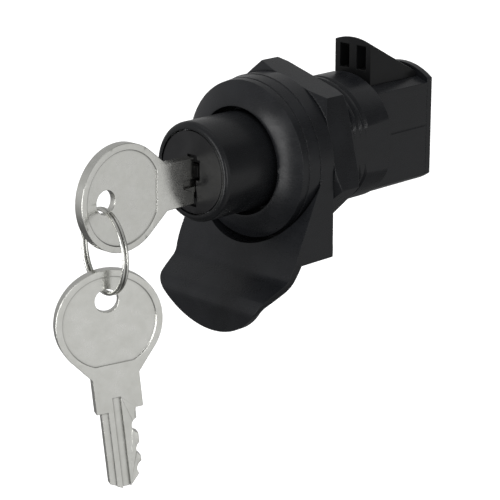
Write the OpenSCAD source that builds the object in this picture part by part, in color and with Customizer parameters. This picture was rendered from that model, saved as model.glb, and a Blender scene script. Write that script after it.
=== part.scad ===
// Keyed push-button slam latch with a finger pull.
// The lock axis runs along Y: the button faces -Y, the slam bolt points up (+Z).
// The origin is where the lock axis meets the panel seat, the flat back of the finger pull.

/* [Panel fixing] */
// Outside diameter of the threaded barrel, which passes through the panel hole
barrel_d = 28.5; // [28:0.1:29]
// Distance across the barrel's two side flats
barrel_flats = 26.4; // [26.3:0.1:27.4]
// Length of the barrel behind the panel seat
barrel_len = 23; // [22.8:0.1:23.2]
// Length of the threaded stretch, measured from the panel seat
thread_len = 16.2; // [13:0.1:18]
// Thread pitch
thread_pitch = 1.9; // [1:0.1:2]
// Thread depth
thread_depth = 0.75; // [0.4:0.05:0.9]
// Hexagonal nut, across flats
nut_flats = 34.5; // [33:0.1:36]
// Thickness of the nut
nut_len = 7; // [5:0.5:9]
// Turn of the nut about the lock axis as it is drawn
nut_turn = 44; // [0:1:59]

/* [Bezel and finger pull] */
// Largest diameter of the bezel
bezel_d = 35.2; // [34.6:0.1:35.4]
// Depth of the finger pull's collar, between the bezel and the panel
collar_len = 4; // [4:0.1:4.4]
// How far the bezel's crown stands in front of the panel seat
bezel_front = 11.1; // [10.7:0.1:11.4]
// Diameter of the cup round the button
cup_d = 23.6; // [23:0.1:24.4]
// Width of the finger pull
pull_w = 35.4; // [35.2:0.1:36]
// Depth of the finger pull below the lock axis
pull_drop = 36; // [34:0.5:38]
// Depth of the finger pull's solid block below the lock axis
block_drop = 20; // [19:0.5:21]
// Wall thickness of the scoop
scoop_t = 2; // [1.6:0.1:2.4]

/* [Button and lock] */
// Diameter of the push button
button_d = 21.4; // [21:0.1:21.6]
// How far the button stands in front of the panel seat
button_front = 24.8; // [24.4:0.1:25.2]
// Diameter of the plug's face
plug_face_d = 17.7; // [17:0.1:17.8]
// Diameter of the plug behind its face
plug_d = 12.84; // [12.4:0.02:12.84]

/* [Keys] */
// Diameter of the round key bow
bow_d = 22.6; // [22:0.1:24]
// Thickness of the key blank
key_t = 2.2; // [1.8:0.1:2.2]
// Full width of the blade
blade_w = 7.2; // [6.6:0.1:7.2]
// Width of the neck between bow and blade
neck_w = 10; // [9:0.1:10.4]
// Distance from the bow centre to the shoulder
shoulder_u = 19.4; // [18.6:0.1:19.4]
// Length of the blade past the shoulder
blade_len = 17.4; // [16:0.1:18]
// Mean diameter of the split ring
ring_d = 17.4; // [17:0.1:18.4]
// Diameter of the split ring's wire
ring_wire = 0.75; // [0.7:0.05:1]

/* [Slam bolt] */
// Width of the slam bolt
bolt_w = 10.5; // [10:0.1:10.6]
// Height of the bolt's front edge above the lock axis
bolt_top = 20.7; // [18:0.1:22]
// Height of the bolt's back edge above the lock axis
bolt_back_top = 12.3; // [11.8:0.1:13]
// Rise of the bolt's rounded crown above its edges
bolt_crown = 0.9; // [0.6:0.1:1.2]

/* [Hidden] */
eps = 0.01;
fine = 96;
// clearance of a running fit, of a part fixed in another, and of a part that must stay clear
fit = 0.08;
seat = 0.05;
gap = 0.3;

// bezel
barrel_r = barrel_d / 2;
bezel_r = bezel_d / 2;
rim_front = collar_len + 4.8;
rim_taper = 0.5;
groove_y = collar_len + 3.4;
groove_w = 0.45;
groove_deep = 0.45;
cup_r = cup_d / 2;
cup_floor = collar_len + 0.2;
crown_steps = 8;
crown_bend = 0.42;

// panel nut
nut_bore_r = barrel_r + 0.1;
nut_front_bevel = 1.9;
nut_front_slope = 1.5;
nut_back_bevel = 1.2;
nut_back_slope = 1;

// inside of the barrel
button_r = button_d / 2;
guide_r = button_r + fit;
guide_back = 0.4;
chamber_r = 11.9;
chamber_back = 15;
well_r = 8.7;
well_back = 21.5;
slot_x = 2.9;
slot_low = -1.8;
slot_high = 1.5;

// finger pull
pull_r = pull_w / 2;
pull_side = pull_r - 0.06;
pull_bore_r = barrel_r + 0.1;
pull_recess_r = bezel_r + 0.35;
slope_angle = 25.3;
lip_angle = 61;
tip_angle = -10;
slope_top_y = -2.45;
slope_len = 24.6;
lip_r = 3.4;
lip_len = 4.8;
tip_r = 3.6;
tip_len = 9;
curve_steps = 6;
gasket_in_r = 14.9;
gasket_out_r = 16.6;
gasket_t = 0.8;

// latch housing
house_r = barrel_r - 0.25;
house_x = 8.5;
house_front = barrel_len + seat;
house_back = 41.35;
house_wall = 2.2;
house_top = 11.4;
house_edge_top = 10.2;
cover_front = 41.4;
cover_back = 43;
well_x = 6.45;
well_floor = -11.3;
ledge_z = 0.3;
screw_x = 6.95;
screw_z = 7.5;
low_screw_z = -12.75;
screw_r = 0.85;
screw_head_r = 1.3;
screw_head_len = 1;
screw_sink = 0.1;
screw_slot_w = 0.4;
screw_slot_deep = 0.5;
screw_front = 16;
screw_end_room = 0.2;
seam_deep = 0.12;
seam_z = 0.3;
seam_len = 12;

// slam bolt
bolt_r = bolt_w / 2;
bolt_play = 0.15;
bolt_front = 25.4;
bolt_back = 41.1;
bolt_floor = -1.5;
ear_x = 6.15;
ear_front = bolt_front + 8;
ear_top = 0.1;
ramp_rise = 1.5;
ramp_front = 28;
channel_x = 2.9;
channel_top = 10.3;
channel_back = bolt_back - 5;
core_w = 2.8;
core_x = 2.45;
core_low = 14.6;
core_high = 20;
core_deep = 4.5;
bolt_spring_x = 2.6;
bolt_spring_y = 38.7;
bolt_spring_r = 1.4;
bolt_wire_r = 0.27;
bolt_pocket_r = 1.95;
bolt_pocket_top = 6;
bolt_turns = 8;
bolt_slices = 9;

// button, lock cylinder and yoke
shell_back = 2;
shell_in_r = plug_face_d / 2 + gap;
rim_round = 1.2;
clip_in_r = 9.9;
clip_out_r = 11.5;
clip_front = 0.6;
clip_t = 1;
clip_split = 2;
seal_y = -2;
seal_t = 1;
seal_out_r = 11.6;
cylinder_r = shell_in_r - seat;
cylinder_front = -22.4;
cylinder_back = 4;
boss_r = 7.1;
boss_back = 6;
pin_r = 0.8;
pin_y = -6;
plug_r = plug_d / 2;
plug_bore_r = plug_r + fit;
pin_in_r = plug_bore_r + 0.8;
pin_out_r = button_r - 0.6;
face_front = -button_front + 0.2;
face_back = -22.45;
plug_back = 6.5;
tail_w = 4;
tail_back = 8.6;
cam_r = 4.6;
cam_w = 4;
cam_reach = 6.6;
cam_back = tail_back - 0.1;
cam_screw_r = 0.85;
cam_head_r = 3.4;
cam_head_back = tail_back + 1;
cam_slot_w = 0.8;
cam_slot_deep = 0.4;
yoke_in_r = 7.2;
yoke_out_r = 8.2;
yoke_floor = 10.5;
yoke_back = 12;
bar_x = 2.5;
bar_low = -1.4;
bar_high = 1.1;
spring_r = 9.8;
spring_wire_r = 0.45;
spring_turns = 5;
spring_slices = 20;

// keys
bow_r = bow_d / 2;
key_z = -1.5;
key_bow_y = -44.4;
bow_rim = 1.4;
bow_recess = 0.3;
recess_end = 9;
key_hole_r = 2.5;
key_hole_u = 4.7;
ring_hang = 0.5;
blade_low = -3.9;
blade_high = blade_low + blade_w;
tip_u = shoulder_u + blade_len;
taper_u = 11.8;
taper_a = 48;
cut_r = 1.8;
// stations and depths of the bitting cuts, from the shoulder
cuts = [[4, 1.2], [9.4, 0.8], [13.8, 1.1]];
tip_low_bevel = 1.3;
tip_high_bevel = 3.4;
tip_flat = [2.6, 4.2];
// low and high edge of each milled groove across the blade, and its depth
groove_front = [-1.3, 0.4];
groove_back = [0.9, 1.8];
milled_edge = 1.4;
groove_start = 3;
groove_deep_front = 0.75;
groove_deep_back = 0.5;
milled_deep = 0.4;
keyway_x = key_t / 2 + 0.2;
keyway_play = 0.25;
keyway_end = 1.5;
mouth_deep = 1;
mouth_low = 0.8;
mouth_high = 0.3;
ward_x = 2.4;
ward_z = [-1.5, 2.9];
wafer_t = 0.8;
wafer_pitch = 2.3;
wafer_count = 5;
wafer_first = -20.5;
wafer_x = 2.6;
wafer_z = 5.7;
wafer_play = 0.1;
wafer_room = 0.4;
wafer_drop = 1.5;
wafer_rise = 1.2;
ring_r = ring_d / 2;
wire_r = ring_wire / 2;
ring_turn = -13;
spare_turn = -26;
spare_lean = 5.4;
ring_top_z = key_z - key_hole_r + wire_r + ring_hang;
ring_y = key_bow_y - key_hole_u;
ring_z = ring_top_z - ring_r;
spare_hole_z = ring_z - ring_r + wire_r + ring_hang - key_hole_r;

// colours of the real object
black_plastic = [0.06, 0.065, 0.07];
black_metal = [0.09, 0.09, 0.095];
nickel = [0.74, 0.73, 0.69];
steel = [0.6, 0.61, 0.62];
brass = [0.72, 0.58, 0.28];
rubber = [0.03, 0.03, 0.03];
zinc = [0.55, 0.56, 0.57];

// Turns a shape made along Z so that it runs along +Y, starting at y.
module along_y(y = 0) {
    translate([0, y, 0])
        rotate([-90, 0, 0])
            children();
}

// A plain round bar along the lock axis between two stations.
module bar_y(r, y0, y1, x = 0, z = 0) {
    translate([x, 0, z])
        along_y(y0)
            cylinder(r = r, h = y1 - y0, $fn = fine);
}

// A round tube along the lock axis between two stations.
module tube_y(r_out, r_in, y0, y1) {
    difference() {
        bar_y(r_out, y0, y1);
        bar_y(r_in, y0 - 1, y1 + 1);
    }
}

// Extrudes an outline drawn in X and Z from y0 back to y1.
module slab_y(y0, y1) {
    translate([0, y1, 0])
        rotate([90, 0, 0])
            linear_extrude(height = y1 - y0)
                children();
}

// Extrudes an outline drawn in Y and Z across X, centred on the lock axis.
module slab_x(width) {
    translate([-width / 2, 0, 0])
        rotate([90, 0, 90])
            linear_extrude(height = width)
                children();
}

// A box given by its low and high corners.
module span(low, high) {
    translate(low)
        cube(high - low);
}

// Points of an arc that turns from one heading to another; headings are degrees from straight down
// towards the front.
function turn_point(start, r, from, to, t) =
    let (now = from + (to - from) * t, side = to > from ? 1 : -1)
    [start[0] - side * r * (cos(from) - cos(now)), start[1] - side * r * (sin(now) - sin(from))];
function heading(a, len) = [-len * sin(a), -len * cos(a)];

// Corner points of the scoop's side curve.
slope_end = [slope_top_y, 0] + heading(slope_angle, slope_len);
lip_start = turn_point(slope_end, lip_r, slope_angle, lip_angle, 1);
lip_end = lip_start + heading(lip_angle, lip_len);
tip_start = turn_point(lip_end, tip_r, lip_angle, tip_angle, 1);
tip_end = tip_start + heading(tip_angle, tip_len);

// The scoop's front curve seen from the side, moved back by its own thickness when t is above zero.
function shift(p, a, t) = [p[0] + t * cos(a), p[1] - t * sin(a)];
function scoop_curve(t) = concat(
    [shift([slope_top_y, 0], slope_angle, t)],
    [for (i = [0:curve_steps])
        let (a = slope_angle + (lip_angle - slope_angle) * i / curve_steps)
        shift(turn_point(slope_end, lip_r, slope_angle, lip_angle, i / curve_steps), a, t)],
    [for (i = [0:curve_steps])
        let (a = lip_angle + (tip_angle - lip_angle) * i / curve_steps)
        shift(turn_point(lip_end, tip_r, lip_angle, tip_angle, i / curve_steps), a, t)],
    [shift(tip_end, tip_angle, t)]);

// Side outline of the scoop wall alone.
module scoop_side() {
    front = scoop_curve(0);
    back = scoop_curve(scoop_t);
    last = len(back) - 1;
    polygon(concat(front, [for (i = [0:last]) back[last - i]]));
}

// Solid bar with the finger pull's front outline: straight sides and a half-round end.
module pull_outline() {
    end_z = pull_r - pull_drop;
    union() {
        bar_y(pull_r, -pull_drop, 1, 0, end_z);
        span([-pull_side, -pull_drop, end_z], [pull_side, 1, 0]);
    }
}

// Collar behind the bezel, sloping block and forward-curling scoop in one moulding.
module finger_pull() {
    block_front = [slope_top_y, 0] + heading(slope_angle, block_drop / cos(slope_angle));
    color(black_plastic)
        difference() {
            union() {
                bar_y(pull_r, -collar_len, 0);
                intersection() {
                    union() {
                        slab_x(pull_w + 2)
                            polygon([[slope_top_y, 0], block_front, [0, -block_drop], [0, 0]]);
                        slab_x(pull_w + 2)
                            scoop_side();
                    }
                    pull_outline();
                }
            }
            bar_y(pull_recess_r, -pull_drop, -collar_len);
            bar_y(pull_bore_r, -pull_drop, 1);
            tube_y(gasket_out_r, gasket_in_r, -gasket_t - seat, 1);
        }
}

// Rubber washer let into the back of the pull.
module panel_gasket() {
    color(rubber)
        tube_y(gasket_out_r - seat, gasket_in_r + seat, -gasket_t, 0);
}

// Half section of the bezel's face: a tapered rim and a gently crowned front.
module bezel_section() {
    rim_r = bezel_r - rim_taper;
    polygon(concat(
        [[0, -collar_len], [bezel_r, -collar_len]],
        [for (i = [0:crown_steps])
            let (t = i / crown_steps)
            [rim_r + (cup_r - rim_r) * t,
                -rim_front - (bezel_front - rim_front) * ((1 + crown_bend) * t - crown_bend * t * t)]],
        [[0, -bezel_front]]));
}

// Half section of the shallow line round the bezel's rim.
module rim_groove() {
    translate([bezel_r - groove_deep, -groove_y])
        square([bezel_r, groove_w]);
}

// One thread groove, seen in half section.
module thread_groove() {
    polygon([[barrel_r - thread_depth, 0], [barrel_r + eps, -thread_pitch / 3],
        [barrel_r + eps, thread_pitch / 3]]);
}

// Bezel, cup and threaded barrel in one moulding.
module bezel_barrel() {
    groove_count = floor((thread_len - thread_pitch / 2) / thread_pitch);
    color(black_plastic)
        difference() {
            union() {
                along_y()
                    rotate_extrude($fn = fine)
                        difference() {
                            bezel_section();
                            rim_groove();
                        }
                along_y()
                    rotate_extrude($fn = fine)
                        difference() {
                            translate([0, -collar_len - 1])
                                square([barrel_r, barrel_len + collar_len + 1]);
                            for (i = [1:groove_count])
                                translate([0, i * thread_pitch])
                                    thread_groove();
                        }
            }
            bar_y(cup_r, -bezel_front - 1, -cup_floor);
            bar_y(guide_r, -bezel_front, guide_back + 1);
            bar_y(seal_out_r, seal_y - seal_t / 2, seal_y + seal_t / 2);
            bar_y(chamber_r, guide_back, chamber_back);
            bar_y(well_r, chamber_back - 1, well_back);
            span([-slot_x, well_back - 1, slot_low], [slot_x, barrel_len + 1, slot_high]);
            for (side = [-1, 1])
                translate([side * (barrel_flats / 2 + barrel_d / 2), barrel_len / 2 + eps, 0])
                    cube([barrel_d, barrel_len, barrel_d], center = true);
            screw_holes(screw_front - screw_end_room, barrel_len + 1, screw_r + seat);
        }
}

// The three holes that hold the housing to the barrel.
module screw_holes(y0, y1, r) {
    for (side = [-1, 1])
        bar_y(r, y0, y1, side * screw_x, screw_z);
    bar_y(r, y0, y1, 0, low_screw_z);
}

// Hexagonal panel nut, its corners chamfered front and back.
module hex_nut() {
    corner_r = nut_flats / 2 / cos(30);
    reach = corner_r + 0.5;
    color(black_plastic)
        difference() {
            intersection() {
                rotate([0, -nut_turn, 0])
                    along_y(seat)
                        cylinder(r = corner_r, h = nut_len, $fn = 6);
                along_y(seat)
                    rotate_extrude($fn = fine)
                        polygon([[0, 0], [corner_r - nut_front_bevel, 0], [reach, nut_front_slope],
                            [reach, nut_len - nut_back_slope], [corner_r - nut_back_bevel, nut_len],
                            [0, nut_len]]);
            }
            bar_y(nut_bore_r, -1, nut_len + 1);
        }
}

// Section of the housing across the lock axis: a round bar with two side flats and a flat top.
module house_outline() {
    intersection() {
        circle(r = house_r, $fn = fine);
        polygon([[-house_x, -barrel_r], [house_x, -barrel_r], [house_x, house_edge_top],
            [bolt_r, house_top], [-bolt_r, house_top], [-house_x, house_edge_top]]);
    }
}

// Box behind the barrel that guides the slam bolt; open at the top and at the back.
module latch_housing() {
    back = house_back + 1;
    front = house_front + house_wall;
    color(black_plastic)
        difference() {
            slab_y(house_front, house_back)
                house_outline();
            span([-bolt_r - bolt_play, front, ledge_z - 1], [bolt_r + bolt_play, back, barrel_r]);
            span([-well_x, front, well_floor], [well_x, back, ledge_z]);
            span([-slot_x, house_front - 1, slot_low], [slot_x, front + 1, slot_high]);
            screw_holes(house_front - 1, back, screw_r + seat);
            for (side = [-1, 1])
                translate([side * house_x, house_front + seam_len, seam_z])
                    cube([2 * seam_deep, seam_len, 2 * seam_deep], center = true);
        }
}

// Back wall with a rounded top, closing the housing.
module rear_cover() {
    color(black_plastic)
        difference() {
            slab_y(cover_front, cover_back)
                intersection() {
                    circle(r = house_r, $fn = fine);
                    square([2 * house_x, barrel_d], center = true);
                }
            screw_holes(cover_front - 1, cover_back + 1, screw_r + seat);
            screw_holes(cover_back - screw_head_len, cover_back + 1, screw_head_r + seat);
        }
}

// One long screw: shank into the barrel, head let into the cover.
module cover_screw(x, z) {
    difference() {
        union() {
            bar_y(screw_r, screw_front, cover_back - screw_head_len + eps, x, z);
            bar_y(screw_head_r, cover_back - screw_head_len, cover_back - screw_sink, x, z);
        }
        translate([x, cover_back, z])
            cube([screw_slot_w, 2 * screw_slot_deep, 3 * screw_head_r], center = true);
    }
}

module cover_screws() {
    color(steel) {
        cover_screw(-screw_x, screw_z);
        cover_screw(screw_x, screw_z);
        cover_screw(0, low_screw_z);
    }
}

// Slam bolt: a fin with a sloping back above the housing, a ramp for the yoke's bar inside it.
module slam_bolt() {
    crown_r = (bolt_r * bolt_r + bolt_crown * bolt_crown) / (2 * bolt_crown);
    above = channel_top + 1;
    ramp_end = ramp_front + (above - bolt_floor) / ramp_rise;
    slope = atan2(bolt_top - bolt_back_top, bolt_back - bolt_front);
    color(black_plastic)
        difference() {
            union() {
                slab_x(bolt_w)
                    polygon([[bolt_front, bolt_floor], [bolt_back, bolt_floor],
                        [bolt_back, bolt_back_top], [bolt_front, bolt_top]]);
                intersection() {
                    span([-bolt_r, bolt_front, bolt_floor], [bolt_r, bolt_back, bolt_top + 2 * bolt_crown]);
                    translate([0, bolt_front, bolt_top])
                        rotate([-slope, 0, 0])
                            along_y(-bolt_crown)
                                translate([0, crown_r - bolt_crown, 0])
                                    cylinder(r = crown_r, h = 2 * bolt_back, $fn = fine);
                }
                span([-ear_x, ear_front, bolt_floor], [ear_x, bolt_back, ear_top]);
            }
            difference() {
                span([-channel_x, bolt_front - 1, bolt_floor - 1],
                    [channel_x, channel_back, channel_top]);
                slab_x(2 * channel_x + 2)
                    polygon([[ramp_front, bolt_floor], [bolt_back, bolt_floor],
                        [bolt_back, above], [ramp_end, above]]);
            }
            for (side = [-1, 1])
                translate([side * core_x, 0, 0])
                    slab_x(core_w)
                        polygon([[bolt_front - 1, core_low], [bolt_front + core_deep, core_low],
                            [bolt_front + core_deep, core_high - core_deep * tan(slope)],
                            [bolt_front, core_high], [bolt_front - 1, core_high]]);
            for (side = [-1, 1])
                translate([side * bolt_spring_x, bolt_spring_y, bolt_floor - 1])
                    cylinder(r = bolt_pocket_r, h = bolt_pocket_top - bolt_floor + 1, $fn = fine);
        }
}

// A coil of round wire standing on z = 0. The outline is a slice of the wire taken level.
module coil(mean_r, wire, length, turns, slices) {
    pitch = length / turns;
    reach = 360 * wire / pitch;
    steps = 3;
    function half(t) = sqrt(max(0, wire * wire - pow(pitch * t / 360, 2)));
    linear_extrude(height = length, twist = -360 * turns, slices = slices * turns)
        polygon(concat(
            [for (i = [-steps:steps])
                let (t = reach * i / steps)
                (mean_r + half(t)) * [cos(t), sin(t)]],
            [for (i = [-steps + 1:steps - 1])
                let (t = -reach * i / steps)
                (mean_r - half(t)) * [cos(t), sin(t)]]));
}

module bolt_springs() {
    length = bolt_pocket_top - well_floor - 2 * seat;
    color(steel)
        for (side = [-1, 1])
            translate([side * bolt_spring_x, bolt_spring_y, well_floor + seat])
                coil(bolt_spring_r, bolt_wire_r, length, bolt_turns, bolt_slices);
}

// Moulded sleeve of the push button with a rounded front rim.
module button_shell() {
    color(black_plastic)
        difference() {
            union() {
                bar_y(button_r, -button_front + rim_round, shell_back);
                intersection() {
                    bar_y(button_r, -button_front, 0);
                    along_y(-button_front + rim_round)
                        rotate_extrude($fn = fine)
                            union() {
                                translate([button_r - rim_round, 0])
                                    circle(r = rim_round, $fn = 48);
                                translate([0, -rim_round])
                                    square([button_r - rim_round, 2 * rim_round]);
                            }
                }
            }
            bar_y(shell_in_r, -button_front - 1, shell_back + 1);
            tube_y(button_r + 1, clip_in_r, clip_front - seat, clip_front + clip_t + seat);
            cross_pins(pin_r + seat, pin_in_r, pin_out_r + seat);
        }
}

// Two short bars across the button, one each side, as pins or as the holes for them.
module cross_pins(r, inner, outer) {
    for (side = [-1, 1])
        translate([side * (inner + outer) / 2, pin_y, 0])
            rotate([0, 90, 0])
                cylinder(r = r, h = outer - inner, center = true, $fn = 48);
}

// O-ring in the bezel's bore, wiping the button.
module button_seal() {
    color(rubber)
        tube_y(seal_out_r - seat, button_r + fit, seal_y - seal_t / 2 + seat, seal_y + seal_t / 2 - seat);
}

// Split ring that stops the button on the step inside the barrel.
module retaining_ring() {
    color(steel)
        difference() {
            tube_y(clip_out_r, clip_in_r + seat, clip_front, clip_front + clip_t);
            span([-clip_split / 2, clip_front - 1, -2 * clip_out_r],
                [clip_split / 2, clip_front + clip_t + 1, 0]);
        }
}

module button_spring() {
    length = chamber_back - shell_back - 2 * seat;
    color(steel)
        along_y(shell_back + seat)
            coil(spring_r, spring_wire_r, length, spring_turns, spring_slices);
}

// Cast cylinder fixed in the button; the plug turns in it.
module lock_cylinder() {
    color(zinc)
        difference() {
            union() {
                bar_y(cylinder_r, cylinder_front, cylinder_back);
                bar_y(boss_r, cylinder_back - 1, boss_back);
            }
            bar_y(plug_bore_r, cylinder_front - 1, boss_back + 1);
            cross_pins(pin_r + seat, pin_in_r - seat, pin_out_r + 1);
            span([-wafer_x - wafer_room, wafer_first - 1, plug_r - wafer_drop],
                [wafer_x + wafer_room, wafer_first + wafer_count * wafer_pitch, plug_r + wafer_rise]);
        }
}

// Cross pins that fix the cylinder in the button, one each side.
module cylinder_pin() {
    color(steel)
        cross_pins(pin_r, pin_in_r, pin_out_r);
}

// Cup behind the cylinder with a flat bar whose sloping nose drives the bolt down.
module push_yoke() {
    nose = ramp_front - bolt_play;
    low_y = nose + (bar_low - bolt_floor) / ramp_rise;
    high_y = nose + (bar_high - bolt_floor) / ramp_rise;
    color(black_plastic)
        union() {
            tube_y(yoke_out_r, yoke_in_r, cylinder_back + seat, yoke_floor + eps);
            bar_y(yoke_out_r, yoke_floor, yoke_back);
            slab_x(2 * bar_x)
                polygon([[yoke_back - eps, bar_low], [low_y, bar_low], [high_y, bar_high],
                    [yoke_back - eps, bar_high]]);
        }
}

// Keyway through the plug, with a wider mouth for the key's neck and a ward notch beside it.
module keyway() {
    front = face_front - 1;
    mouth_back = face_front + mouth_deep;
    span([-keyway_x, front, key_z + blade_low - keyway_play],
        [keyway_x, key_bow_y + tip_u + keyway_end, key_z + blade_high + keyway_play]);
    span([-keyway_x, front, key_z - neck_w / 2 - mouth_low],
        [keyway_x, mouth_back, key_z + neck_w / 2 + mouth_high]);
    span([0, front, ward_z[0]], [ward_x, mouth_back, ward_z[1]]);
}

// Turning plug with its round face.
module lock_plug() {
    color(black_metal)
        difference() {
            union() {
                bar_y(plug_face_d / 2, face_front, face_back);
                bar_y(plug_r, face_back - eps, plug_back);
                span([-tail_w / 2, plug_back - eps, -tail_w / 2], [tail_w / 2, tail_back, tail_w / 2]);
            }
            keyway();
            for (i = [0:wafer_count - 1])
                translate([0, wafer_first + i * wafer_pitch, 0])
                    cube([2 * (wafer_x + wafer_play), wafer_t + 2 * wafer_play, 4 * wafer_z], center = true);
            bar_y(cam_screw_r + seat, plug_back - 3, tail_back + 1);
        }
}

// Flat brass wafers, each with a window for the blade.
module wafers() {
    color(brass)
        for (i = [0:wafer_count - 1])
            translate([0, wafer_first + i * wafer_pitch, 0])
                difference() {
                    cube([2 * wafer_x, wafer_t, 2 * wafer_z], center = true);
                    span([-keyway_x, -wafer_t, key_z + blade_low - keyway_play],
                        [keyway_x, wafer_t, key_z + blade_high + keyway_play]);
                }
}

// Locking lug on the plug's square tail.
module lock_cam() {
    color(zinc)
        difference() {
            union() {
                bar_y(cam_r, plug_back + seat, cam_back);
                span([-cam_w / 2, plug_back + seat, 0], [cam_w / 2, cam_back, cam_reach]);
            }
            span([-tail_w / 2 - seat, plug_back - 1, -tail_w / 2 - seat],
                [tail_w / 2 + seat, tail_back + 1, tail_w / 2 + seat]);
        }
}

module cam_screw() {
    color(steel)
        difference() {
            union() {
                bar_y(cam_screw_r, plug_back - 2, tail_back + seat + eps);
                bar_y(cam_head_r, tail_back + seat, cam_head_back);
            }
            span([-cam_slot_w / 2, cam_head_back - cam_slot_deep, -cam_head_r - 1],
                [cam_slot_w / 2, cam_head_back + 1, cam_head_r + 1]);
        }
}

// Bow with its hole: a disc that narrows into the neck.
module bow_outline() {
    difference() {
        union() {
            circle(r = bow_r, $fn = fine);
            polygon([[0, 0], bow_r * [cos(taper_a), sin(taper_a)], [taper_u, neck_w / 2],
                [taper_u, -neck_w / 2], bow_r * [cos(taper_a), -sin(taper_a)]]);
        }
        translate([-key_hole_u, 0])
            circle(r = key_hole_r, $fn = 48);
    }
}

// Neck outline, from the taper to the shoulder.
module neck_outline() {
    translate([bow_r - 1, -neck_w / 2])
        square([shoulder_u - bow_r + 1, neck_w]);
}

// Blade outline with its point and its cuts.
module blade_outline() {
    difference() {
        polygon([[shoulder_u - 1, blade_low], [tip_u - tip_low_bevel, blade_low],
            [tip_u, blade_low + tip_flat[0]], [tip_u, blade_low + tip_flat[1]],
            [tip_u - tip_high_bevel, blade_high], [shoulder_u - 1, blade_high]]);
        for (cut = cuts)
            translate([shoulder_u + cut[0], blade_high + cut_r - cut[1]])
                circle(r = cut_r, $fn = 48);
    }
}

// The shallow field in each face of the bow: round, and cut straight across near the neck.
module bow_field() {
    intersection() {
        cylinder(r = bow_r - bow_rim, h = 2 * bow_recess, center = true, $fn = fine);
        span([-bow_r, -bow_r, -1], [recess_end, bow_r, 1]);
    }
}

// One key lying flat: bow centre at the origin, blade along +X, faces on Z.
module key() {
    half = key_t / 2;
    difference() {
        translate([0, 0, -half])
            union() {
                linear_extrude(height = key_t)
                    bow_outline();
                linear_extrude(height = key_t)
                    neck_outline();
                linear_extrude(height = key_t)
                    blade_outline();
            }
        for (side = [-1, 1])
            translate([0, 0, side * half])
                bow_field();
        span([shoulder_u - groove_start, groove_front[0], half - groove_deep_front],
            [tip_u + 1, groove_front[1], half + 1]);
        span([shoulder_u, blade_low - 1, half - milled_deep],
            [tip_u + 1, blade_low + milled_edge, half + 1]);
        span([shoulder_u, groove_back[0], -half - 1],
            [tip_u + 1, groove_back[1], groove_deep_back - half]);
    }
}

// Key in the lock: blade along +Y, cuts upwards.
module inserted_key() {
    color(nickel)
        translate([0, key_bow_y, key_z])
            rotate([90, 0, 90])
                key();
}

// Key hanging blade down from the split ring, leaning a little in its own plane.
module spare_key() {
    color(nickel)
        translate([0, ring_y, spare_hole_z])
            rotate([0, 0, spare_turn])
                rotate([90, 0, 90])
                    rotate([0, 0, spare_lean - 90])
                        translate([key_hole_u, 0, 0])
                            key();
}

// Split ring: two turns of wire lying against each other.
module key_ring() {
    color(steel)
        translate([0, ring_y, ring_z])
            rotate([0, 0, ring_turn])
                rotate([90, 0, 0])
                    rotate_extrude($fn = fine)
                        for (side = [-1, 1])
                            translate([ring_r, side * (wire_r - eps)])
                                circle(r = wire_r, $fn = 32);
}

bezel_barrel();
finger_pull();
panel_gasket();
hex_nut();
latch_housing();
rear_cover();
cover_screws();
slam_bolt();
bolt_springs();
button_shell();
button_seal();
retaining_ring();
button_spring();
lock_cylinder();
cylinder_pin();
push_yoke();
lock_plug();
wafers();
lock_cam();
cam_screw();
inserted_key();
key_ring();
spare_key();
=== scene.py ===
"""Looks of the keyed push-button slam latch: materials, edge rounding, the wound split ring, the springs,
light and camera. Everything is in metres in the part's own frame: +Y runs along the lock axis, away from
the key, and +Z is up."""

import bpy
import bmesh
import math
from mathutils import Matrix, Vector


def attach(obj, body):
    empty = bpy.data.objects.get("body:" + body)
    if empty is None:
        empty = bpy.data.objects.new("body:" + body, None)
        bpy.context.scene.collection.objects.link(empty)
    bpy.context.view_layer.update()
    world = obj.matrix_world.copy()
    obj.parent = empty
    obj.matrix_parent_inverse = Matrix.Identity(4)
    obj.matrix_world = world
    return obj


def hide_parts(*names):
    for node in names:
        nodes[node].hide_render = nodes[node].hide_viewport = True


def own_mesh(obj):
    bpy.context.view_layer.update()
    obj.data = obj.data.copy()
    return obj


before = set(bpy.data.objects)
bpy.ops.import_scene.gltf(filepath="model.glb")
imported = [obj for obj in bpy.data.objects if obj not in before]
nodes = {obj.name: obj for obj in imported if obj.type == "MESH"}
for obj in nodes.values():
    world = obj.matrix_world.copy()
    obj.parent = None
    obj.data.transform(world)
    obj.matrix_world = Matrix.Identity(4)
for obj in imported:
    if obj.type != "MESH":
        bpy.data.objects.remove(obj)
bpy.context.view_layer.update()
MM = 0.001

# ---------------------------------------------------------------- camera, floor and light
CAMERA_AT = Vector((0.2911, -0.3035, 0.1063))
CAMERA_BACK = Vector((0.6703, -0.6821, 0.2924)).normalized()
CAMERA_LENS = 144.0
SENSOR_WIDTH = 36.0
CLIP = (0.01, 20.0)

FLOOR_Z = -0.125
FLOOR_HALF = 6.0
FLOOR_COLOUR = (0.9, 0.9, 0.9, 1)
FLOOR_ROUGHNESS = 0.9
FLOOR_GLOW = 0.35

# The studio's walls as a light. Each lobe is a direction, the two cosines between which it rises, and its
# value outside and inside. The first lobes are summed and the others multiply the sum.
ADDED_LOBES = (
    ((0, 0, 1), -0.75, 0.15, 0.10, 0.42),               # dim below, brighter above
    ((0.97, 0.05, -0.30), 0.40, 0.90, 0.0, 0.46),       # bright wall at the right
    ((-0.67, -0.68, 0.10), 0.70, 0.97, 0.0, 0.10),      # pale wall at the front left
)
MULTIPLIED_LOBES = (
    (CAMERA_BACK, 0.70, 0.95, 1.0, 0.7),                # darker round the camera
    ((0.67, 0.68, 0.34), 0.84, 0.98, 1.0, 0.3),         # dark corner high up at the back right
)

SUN_FROM = (-0.15, -0.25, 1.0)
SUN_STRENGTH = 1.9
SUN_ANGLE = math.radians(60)
LAMPS_AIM = (0, -0.01, -0.01)
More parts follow.
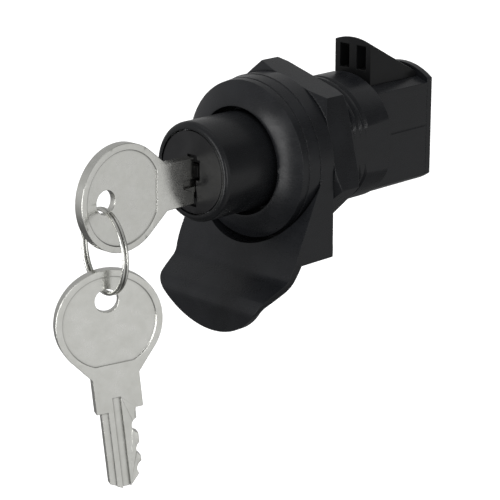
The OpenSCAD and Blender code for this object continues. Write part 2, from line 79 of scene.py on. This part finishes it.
# name, place, width, height, power in watts
LAMPS = (
    ("left_softbox", (-0.12, -0.67, -0.05), 0.28, 0.52, 2.5),
    ("front_softbox", (0.43, -0.45, -0.02), 0.10, 0.46, 0.75),
    ("top_strip", (-0.10, -0.05, 0.60), 0.10, 0.50, 0.12),
)


def aim(obj, place, back):
    """Puts obj at place, looking along minus back, with the world's up kept upright."""
    side = Vector((0, 0, 1)).cross(back).normalized()
    up = back.cross(side).normalized()
    turn = Matrix((side, up, back)).transposed().to_4x4()
    obj.matrix_world = Matrix.Translation(place) @ turn


def make_camera():
    """Long lens from the front right, a little above the latch."""
    data = bpy.data.cameras.new("camera")
    data.lens = CAMERA_LENS
    data.sensor_width = SENSOR_WIDTH
    data.clip_start, data.clip_end = CLIP
    cam = bpy.data.objects.new("camera", data)
    bpy.context.scene.collection.objects.link(cam)
    aim(cam, CAMERA_AT, CAMERA_BACK)
    bpy.context.scene.camera = cam


def lamp(kind, name, power):
    """A light that isn't placed yet."""
    data = bpy.data.lights.new(name, kind)
    data.energy = power
    obj = bpy.data.objects.new(name, data)
    bpy.context.scene.collection.objects.link(obj)
    return obj


def area_light(name, place, width, height, power):
    obj = lamp("AREA", name, power)
    obj.data.shape = "RECTANGLE"
    obj.data.size = width
    obj.data.size_y = height
    aim(obj, Vector(place), (Vector(place) - Vector(LAMPS_AIM)).normalized())


def overhead_sun():
    """A wide soft sun that only shades; it has no reflection of its own."""
    obj = lamp("SUN", "overhead", SUN_STRENGTH)
    obj.data.angle = SUN_ANGLE
    obj.visible_glossy = False
    aim(obj, Vector((0, 0, 1)), Vector(SUN_FROM).normalized())


def make_world():
    """White studio. The eye sees plain white; surfaces see walls of different brightness."""
    world = bpy.data.worlds.new("studio")
    world.use_nodes = True
    tree = world.node_tree

    def add(kind, **values):
        node = tree.nodes.new(kind)
        for key, value in values.items():
            setattr(node, key, value)
        return node

    direction = add("ShaderNodeTexCoord").outputs["Generated"]

    def lobe(towards, start, end, low, high):
        dot = add("ShaderNodeVectorMath", operation="DOT_PRODUCT")
        tree.links.new(direction, dot.inputs[0])
        dot.inputs[1].default_value = Vector(towards).normalized()
        ramp = add("ShaderNodeMapRange", interpolation_type="SMOOTHSTEP")
        for name, value in zip(("From Min", "From Max", "To Min", "To Max"), (start, end, low, high)):
            ramp.inputs[name].default_value = value
        tree.links.new(dot.outputs["Value"], ramp.inputs["Value"])
        return ramp.outputs["Result"]

    def maths(operation, one, two):
        node = add("ShaderNodeMath", operation=operation)
        tree.links.new(one, node.inputs[0])
        tree.links.new(two, node.inputs[1])
        return node.outputs["Value"]

    first, *others = ADDED_LOBES
    walls = lobe(*first)
    for values in others:
        walls = maths("ADD", walls, lobe(*values))
    for values in MULTIPLIED_LOBES:
        walls = maths("MULTIPLY", walls, lobe(*values))
    wall = tree.nodes["Background"]
    wall.inputs["Color"].default_value = (1, 1, 1, 1)
    tree.links.new(walls, wall.inputs["Strength"])
    seen = add("ShaderNodeBackground")
    seen.inputs["Color"].default_value = (1, 1, 1, 1)
    mix = add("ShaderNodeMixShader")
    tree.links.new(add("ShaderNodeLightPath").outputs["Is Camera Ray"], mix.inputs["Fac"])
    tree.links.new(wall.outputs["Background"], mix.inputs[1])
    tree.links.new(seen.outputs["Background"], mix.inputs[2])
    tree.links.new(mix.outputs["Shader"], tree.nodes["World Output"].inputs["Surface"])
    bpy.context.scene.world = world


def make_floor():
    """Plain pale floor, which lights and shades nothing."""
    corners = [(x * FLOOR_HALF, y * FLOOR_HALF, FLOOR_Z) for x, y in ((-1, -1), (1, -1), (1, 1), (-1, 1))]
    mesh = bpy.data.meshes.new("floor")
    mesh.from_pydata(corners, [], [(0, 1, 2, 3)])
    floor = bpy.data.objects.new("floor", mesh)
    bpy.context.scene.collection.objects.link(floor)
    mat = bpy.data.materials.new("floor_white")
    mat.use_nodes = True
    shader = mat.node_tree.nodes["Principled BSDF"]
    shader.inputs["Base Color"].default_value = FLOOR_COLOUR
    shader.inputs["Roughness"].default_value = FLOOR_ROUGHNESS
    shader.inputs["Emission Color"].default_value = (1, 1, 1, 1)
    shader.inputs["Emission Strength"].default_value = FLOOR_GLOW
    mesh.materials.append(mat)
    floor.visible_diffuse = False
    floor.visible_glossy = False
    floor.visible_shadow = False


def make_stage():
    make_world()
    make_floor()
    overhead_sun()
    for values in LAMPS:
        area_light(*values)


# ---------------------------------------------------------------- materials
class Nodes:
    """A short way to write a material's node tree."""

    def __init__(self, name):
        self.mat = bpy.data.materials.new(name)
        self.mat.use_nodes = True
        self.tree = self.mat.node_tree
        self.shader = self.tree.nodes["Principled BSDF"]
        self.place = self.add("ShaderNodeTexCoord").outputs["Object"]

    def add(self, kind, **values):
        node = self.tree.nodes.new(kind)
        for key, value in values.items():
            setattr(node, key, value)
        return node

    def link(self, one, two):
        self.tree.links.new(one, two)

    def scaled(self, scale):
        node = self.add("ShaderNodeMapping")
        node.inputs["Scale"].default_value = scale
        self.link(self.place, node.inputs["Vector"])
        return node.outputs["Vector"]

    def noise(self, scale, detail=3.0, rough=0.55, vector=None):
        node = self.add("ShaderNodeTexNoise")
        node.inputs["Scale"].default_value = scale
        node.inputs["Detail"].default_value = detail
        node.inputs["Roughness"].default_value = rough
        self.link(vector or self.place, node.inputs["Vector"])
        return node.outputs["Fac"]

    def remap(self, value, source, target):
        """value, moved from the range source to the range target and kept inside it."""
        node = self.add("ShaderNodeMapRange")
        node.inputs["From Min"].default_value, node.inputs["From Max"].default_value = source
        node.inputs["To Min"].default_value, node.inputs["To Max"].default_value = target
        self.link(value, node.inputs["Value"])
        return node.outputs["Result"]

    def sum(self, one, two):
        node = self.add("ShaderNodeMath", operation="ADD")
        self.link(one, node.inputs[0])
        self.link(two, node.inputs[1])
        return node.outputs["Value"]

    def mix(self, factor, dark, light):
        node = self.add("ShaderNodeMix", data_type="RGBA")
        self.link(factor, node.inputs["Factor"])
        node.inputs["A"].default_value = (*dark, 1)
        node.inputs["B"].default_value = (*light, 1)
        return node.outputs["Result"]

    def rounded(self, radius):
        """The surface's own normal, eased over its edges by the given radius."""
        node = self.add("ShaderNodeBevel", samples=SHADER_SAMPLES)
        node.inputs["Radius"].default_value = radius
        return node.outputs["Normal"]

    def corners(self, distance):
        """0 in tight corners and grooves, 1 in the open."""
        node = self.add("ShaderNodeAmbientOcclusion", samples=SHADER_SAMPLES, only_local=True)
        node.inputs["Distance"].default_value = distance
        return node.outputs["AO"]

    def painted_corner_shade(self, colour, keep):
        """colour times keep, which paints shade into the corners."""
        node = self.add("ShaderNodeVectorMath", operation="SCALE")
        self.link(colour, node.inputs[0])
        self.link(keep, node.inputs["Scale"])
        return node.outputs["Vector"]

    def bump(self, height, strength, depth, below=None):
        node = self.add("ShaderNodeBump")
        node.inputs["Strength"].default_value = strength
        node.inputs["Distance"].default_value = depth
        self.link(height, node.inputs["Height"])
        if below:
            self.link(below, node.inputs["Normal"])
        return node.outputs["Normal"]

    def set(self, **values):
        for key, value in values.items():
            socket = self.shader.inputs[key.replace("_", " ")]
            if isinstance(value, (int, float, tuple)):
                socket.default_value = value
            else:
                self.link(value, socket)


SHADER_SAMPLES = 8
PLASTIC_EDGE = 0.15 * MM
NICKEL_EDGE = 0.16 * MM
NICKEL_DARK = (0.68, 0.68, 0.64)
NICKEL_LIGHT = (0.76, 0.76, 0.725)
# painted shade in the corners: how near a wall must be to darken a spot, how closed in a spot is when it
# is unshaded, and the tone of the painted shade
CORNER_SHADE_REACH = 0.7 * MM
CORNER_SHADE_RANGE = (0.55, 0.92)
CORNER_SHADE_TONE = 0.45
RUBBER_DARK = (0.012, 0.012, 0.012)
RUBBER_LIGHT = (0.022, 0.022, 0.022)
# noise scales are in waves per metre; a streak has its own scale along each axis
RUB_STREAKS = (500, 160, 900)
TUMBLE_STREAKS = (9000, 900, 900)


def plastic(name, dark, light, rough, grain_size, grain, specular=0.26):
    """Moulded plastic: uneven sheen, a fine spark-eroded grain, soft waves and faint rubbing."""
    n = Nodes(name)
    cloud = n.noise(scale=140, detail=4)
    rub = n.noise(scale=1, detail=5, rough=0.7, vector=n.scaled(RUB_STREAKS))
    waves = n.noise(scale=260, detail=2)
    grit = n.noise(scale=1 / grain_size, detail=2, rough=0.5)
    n.set(Base_Color=n.mix(n.remap(cloud, (0.35, 0.7), (0, 1)), dark, light))
    n.set(Roughness=n.sum(n.remap(cloud, (0.3, 0.7), rough), n.remap(rub, (0.45, 0.75), (0.0, 0.08))))
    fine = n.bump(grit, strength=grain, depth=0.02 * MM, below=n.rounded(PLASTIC_EDGE))
    n.set(Normal=n.bump(waves, strength=0.12, depth=0.12 * MM, below=fine))
    n.set(Specular_IOR_Level=specular, IOR=1.5)
    return n.mat


def nickel(name, rough, grain):
    """Nickel-plated stamping: bright, with a fine tumbled grain, soft smears and painted shade in its
    corners and grooves.
    """
    n = Nodes(name)
    smear = n.noise(scale=320, detail=5, rough=0.6)
    streak = n.noise(scale=1, detail=3, rough=0.6, vector=n.scaled(TUMBLE_STREAKS))
    grit = n.noise(scale=2600, detail=3, rough=0.6)
    unshaded = n.mix(n.remap(smear, (0.3, 0.7), (0, 1)), NICKEL_DARK, NICKEL_LIGHT)
    n.set(Metallic=1.0)
    # painted shade: the colour darkens in corners and grooves, where shade falls
    n.set(Base_Color=n.painted_corner_shade(unshaded, n.remap(n.corners(CORNER_SHADE_REACH), CORNER_SHADE_RANGE, (CORNER_SHADE_TONE, 1.0))))
    n.set(Roughness=n.sum(n.remap(smear, (0.3, 0.75), rough), n.remap(streak, (0.4, 0.7), (0.0, 0.06))))
    n.set(Normal=n.bump(grit, strength=grain, depth=0.03 * MM, below=n.rounded(NICKEL_EDGE)))
    return n.mat


def metal(name, dark, light, rough, grain):
    """Plain metal with a cloudy tone and a fine grain."""
    n = Nodes(name)
    cloud = n.noise(scale=400, detail=4)
    n.set(Metallic=1.0)
    n.set(Base_Color=n.mix(n.remap(cloud, (0.3, 0.7), (0, 1)), dark, light))
    n.set(Roughness=n.remap(cloud, (0.3, 0.7), (rough * 0.8, rough * 1.25)))
    n.set(Normal=n.bump(n.noise(scale=3000), strength=grain, depth=0.03 * MM))
    return n.mat


def rubber(name):
    """Dull moulded rubber."""
    n = Nodes(name)
    cloud = n.noise(scale=500)
    n.set(Base_Color=n.mix(n.remap(cloud, (0.3, 0.7), (0, 1)), RUBBER_DARK, RUBBER_LIGHT))
    n.set(Roughness=n.remap(cloud, (0.3, 0.7), (0.65, 0.85)))
    n.set(Normal=n.bump(n.noise(scale=4000), strength=0.3, depth=0.03 * MM))
    return n.mat


BLACK = plastic("black_moulded", (0.0085, 0.0090, 0.0104), (0.0118, 0.0125, 0.0143),
                rough=(0.22, 0.30), grain_size=0.28 * MM, grain=0.3)
BUTTON = plastic("button_grained", (0.0065, 0.0069, 0.0078), (0.0092, 0.0098, 0.0110),
                 rough=(0.22, 0.28), grain_size=0.22 * MM, grain=0.35)
BOLT = plastic("black_acetal", (0.0070, 0.0072, 0.0076), (0.0095, 0.0097, 0.0102),
               rough=(0.28, 0.36), grain_size=0.25 * MM, grain=0.3, specular=0.17)
PLUG = plastic("black_coated", (0.008, 0.008, 0.009), (0.012, 0.012, 0.013),
               rough=(0.30, 0.38), grain_size=0.2 * MM, grain=0.4)
KEY = nickel("key_nickel", rough=(0.17, 0.26), grain=0.22)
RING = nickel("ring_nickel", rough=(0.10, 0.18), grain=0.12)
STEEL = metal("bright_steel", (0.45, 0.45, 0.46), (0.62, 0.62, 0.63), rough=0.3, grain=0.2)
ZINC = metal("cast_zinc", (0.35, 0.36, 0.37), (0.48, 0.49, 0.5), rough=0.45, grain=0.5)
BRASS = metal("stamped_brass", (0.55, 0.40, 0.16), (0.70, 0.54, 0.26), rough=0.32, grain=0.2)
RUBBER = rubber("black_rubber")

FINISH = {
    "bezel_barrel": BLACK, "finger_pull": BLACK, "hex_nut": BLACK, "latch_housing": BLACK,
    "rear_cover": BLACK, "slam_bolt": BOLT, "push_yoke": BLACK, "button_shell": BUTTON,
    "lock_plug": PLUG, "inserted_key": KEY, "spare_key": KEY, "key_ring": RING,
    "cover_screws": STEEL, "bolt_springs": STEEL, "button_spring": STEEL, "retaining_ring": STEEL,
    "cylinder_pin": STEEL, "cam_screw": STEEL, "lock_cylinder": ZINC, "lock_cam": ZINC,
    "wafers": BRASS, "panel_gasket": RUBBER, "button_seal": RUBBER,
}
# the widest rounding of each visible node's edges, in mm; the bevel is clamped, so edges that lie close
# together in a node narrow it
EDGE = {
    "bezel_barrel": 0.2, "finger_pull": 0.4, "hex_nut": 0.3, "latch_housing": 0.35,
    "rear_cover": 0.3, "slam_bolt": 0.25, "button_shell": 0.2, "lock_plug": 0.15,
    "inserted_key": 0.14, "spare_key": 0.14, "cover_screws": 0.08,
}
WELD_GAP = 0.002 * MM
EDGE_ANGLE = math.radians(28)
EDGE_SEGMENTS = 2
FACE_WEIGHT = 80


def round_edges(obj, width):
    """Small round edges, with the flat faces left flat."""
    weld = obj.modifiers.new("weld", "WELD")
    weld.merge_threshold = WELD_GAP
    bevel = obj.modifiers.new("bevel", "BEVEL")
    bevel.width = width
    bevel.segments = EDGE_SEGMENTS
    bevel.limit_method = "ANGLE"
    bevel.angle_limit = EDGE_ANGLE
    bevel.use_clamp_overlap = True
    bevel.harden_normals = False
    bevel.miter_outer = "MITER_ARC"
    smooth = obj.modifiers.new("smooth", "WEIGHTED_NORMAL")
    smooth.mode = "FACE_AREA"
    smooth.weight = FACE_WEIGHT


def dress_nodes():
    """Gives each CAD node its material, and the visible ones their rounded edges."""
    for name, obj in nodes.items():
        for slot in obj.material_slots:
            slot.material = FINISH[name]
        if name in EDGE:
            round_edges(obj, EDGE[name] * MM)


# ---------------------------------------------------------------- split ring
RING_CENTRE = Vector((0, -49.1, -11.825)) * MM
RING_R = 8.7 * MM
RING_TURN = math.radians(-13)
WIRE_R = 0.365 * MM
WIRE_GAP = 0.02 * MM
# where the wire starts and how far it winds, and over how much of a turn it crosses over, in degrees
WIRE_START = 130.0
WIRE_SWEEP = 704.0
WIRE_CROSSING = 30.0
# the step either side of a point from which the wire's direction there is taken, in degrees
SMALL_TURN = 0.1
WIRE_SIDES = 20
WIRE_STEPS = 360


def wire_point(angle):
    """Centre of the wire at an angle in degrees, and the direction out from the ring's centre there."""
    along = Vector((math.cos(RING_TURN), math.sin(RING_TURN), 0))
    axis = Vector((-math.sin(RING_TURN), math.cos(RING_TURN), 0))
    up = Vector((0, 0, 1))
    crossed = (angle - WIRE_START - WIRE_SWEEP / 2) / WIRE_CROSSING + 0.5
    crossed = min(1.0, max(0.0, crossed))
    crossed = crossed * crossed * (3 - 2 * crossed)
    out = along * math.cos(math.radians(angle)) + up * math.sin(math.radians(angle))
    lift = (WIRE_R + WIRE_GAP / 2) * (2 * crossed - 1)
    return RING_CENTRE + out * RING_R + axis * lift, out


def wire_section(mesh, angle):
    """One round of the wire's vertices, square to its run."""
    centre, out = wire_point(angle)
    flow = (wire_point(angle + SMALL_TURN)[0] - wire_point(angle - SMALL_TURN)[0]).normalized()
    side = flow.cross(out).normalized()
    turns = (2 * math.pi * k / WIRE_SIDES for k in range(WIRE_SIDES))
    return [mesh.verts.new(centre + WIRE_R * (out * math.cos(t) + side * math.sin(t))) for t in turns]


def wound_ring():
    """Two turns of round wire lying against each other, with a cross-over and two cut ends."""
    mesh = bmesh.new()
    rings = [wire_section(mesh, WIRE_START + WIRE_SWEEP * i / WIRE_STEPS) for i in range(WIRE_STEPS + 1)]
    for one, two in zip(rings, rings[1:]):
        for k in range(WIRE_SIDES):
            after = (k + 1) % WIRE_SIDES
            mesh.faces.new((one[k], one[after], two[after], two[k])).smooth = True
    mesh.faces.new(list(reversed(rings[0])))
    mesh.faces.new(rings[-1])
    bmesh.ops.recalc_face_normals(mesh, faces=mesh.faces)
    data = bpy.data.meshes.new("split_ring")
    mesh.to_mesh(data)
    mesh.free()
    data.materials.append(RING)
    obj = bpy.data.objects.new("split_ring", data)
    bpy.context.scene.collection.objects.link(obj)
    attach(obj, "ring")
    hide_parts("key_ring")


# ---------------------------------------------------------------- springs held at their seats in the housing
SPRINGS = (
    # CAD node, piece, joint, axis, end that stays still (0 low, 1 high along the axis), and a slight
    # widening in x and z that keeps the straight steps of the coil off what it goes round
    ("bolt_springs", "bolt_return_springs", "bolt_retract", (0, 0, 1), 0, 1.0),
    ("button_spring", "button_return_spring", "button_push", (0, 1, 0), 1, 1.015),
)


def wound_springs():
    """Copies of the coils, held at their seats in the housing."""
    for node, name, joint, axis, still, wider in SPRINGS:
        piece = bpy.data.objects.new(name, nodes[node].data.copy())
        bpy.context.scene.collection.objects.link(piece)
        piece.matrix_world = Matrix.Diagonal((wider, 1, wider, 1)) @ nodes[node].matrix_world
        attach(piece, "housing")
        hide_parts(node)
        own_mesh(piece)


bpy.context.scene.view_settings.view_transform = "Standard"
make_camera()
make_stage()
dress_nodes()
wound_ring()
wound_springs()
